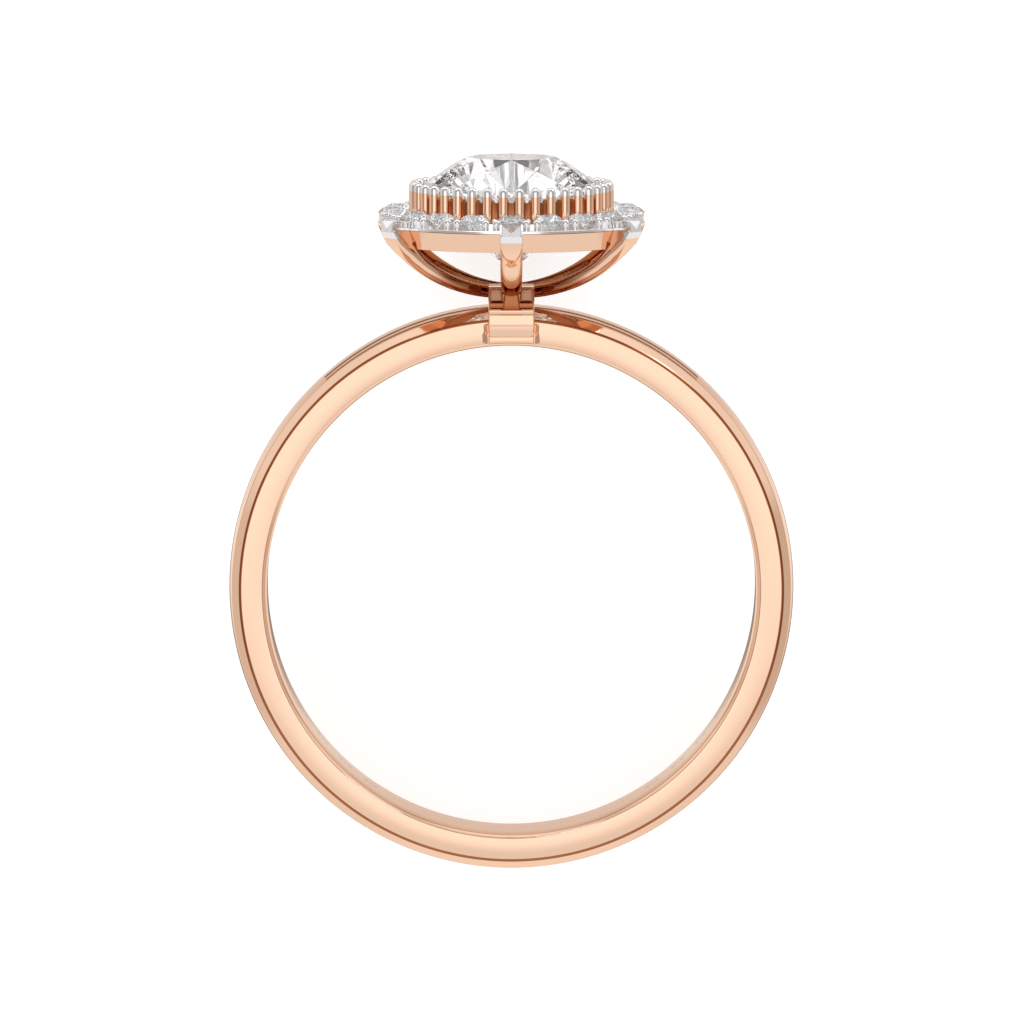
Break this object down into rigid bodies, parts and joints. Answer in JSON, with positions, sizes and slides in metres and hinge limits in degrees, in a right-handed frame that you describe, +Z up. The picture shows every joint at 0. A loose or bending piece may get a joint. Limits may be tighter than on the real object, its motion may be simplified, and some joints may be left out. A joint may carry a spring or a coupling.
{
  "type": "halo ring",
  "caption": "Finger ring with a large round brilliant in a many-pronged cup, a halo of small brilliants round it on curved claws, and a bevelled band, lying on its side.",
  "frame": {"origin": "centre of the bounding box's footprint on the surface that the ring lies on", "axes": "+Y along the ring from the band to the table of the centre stone, +Z up, across the band's width, +X across the finger hole"},
  "size_m": [0.02, 0.0254, 0.0108],
  "materials": {
    "rose_gold": "polished",
    "white_gold": "bright plated",
    "diamond": "cut and polished"
  },
  "bodies": {
    "root": {"ring_metal": "rose_gold", "centre_stone": "diamond", "halo_stone_01": "diamond", "halo_stone_02": "diamond", "halo_stone_03": "diamond", "halo_stone_04": "diamond", "halo_stone_05": "diamond", "halo_stone_06": "diamond", "halo_stone_07": "diamond", "halo_stone_08": "diamond", "halo_stone_09": "diamond", "halo_stone_10": "diamond", "halo_stone_11": "diamond", "halo_stone_12": "diamond", "halo_stone_13": "diamond", "halo_stone_14": "diamond", "halo_stone_15": "diamond", "halo_stone_16": "diamond", "halo_stone_17": "diamond", "halo_stone_18": "diamond", "halo_stone_19": "diamond", "halo_stone_20": "diamond"}
  },
  "joints": []
}
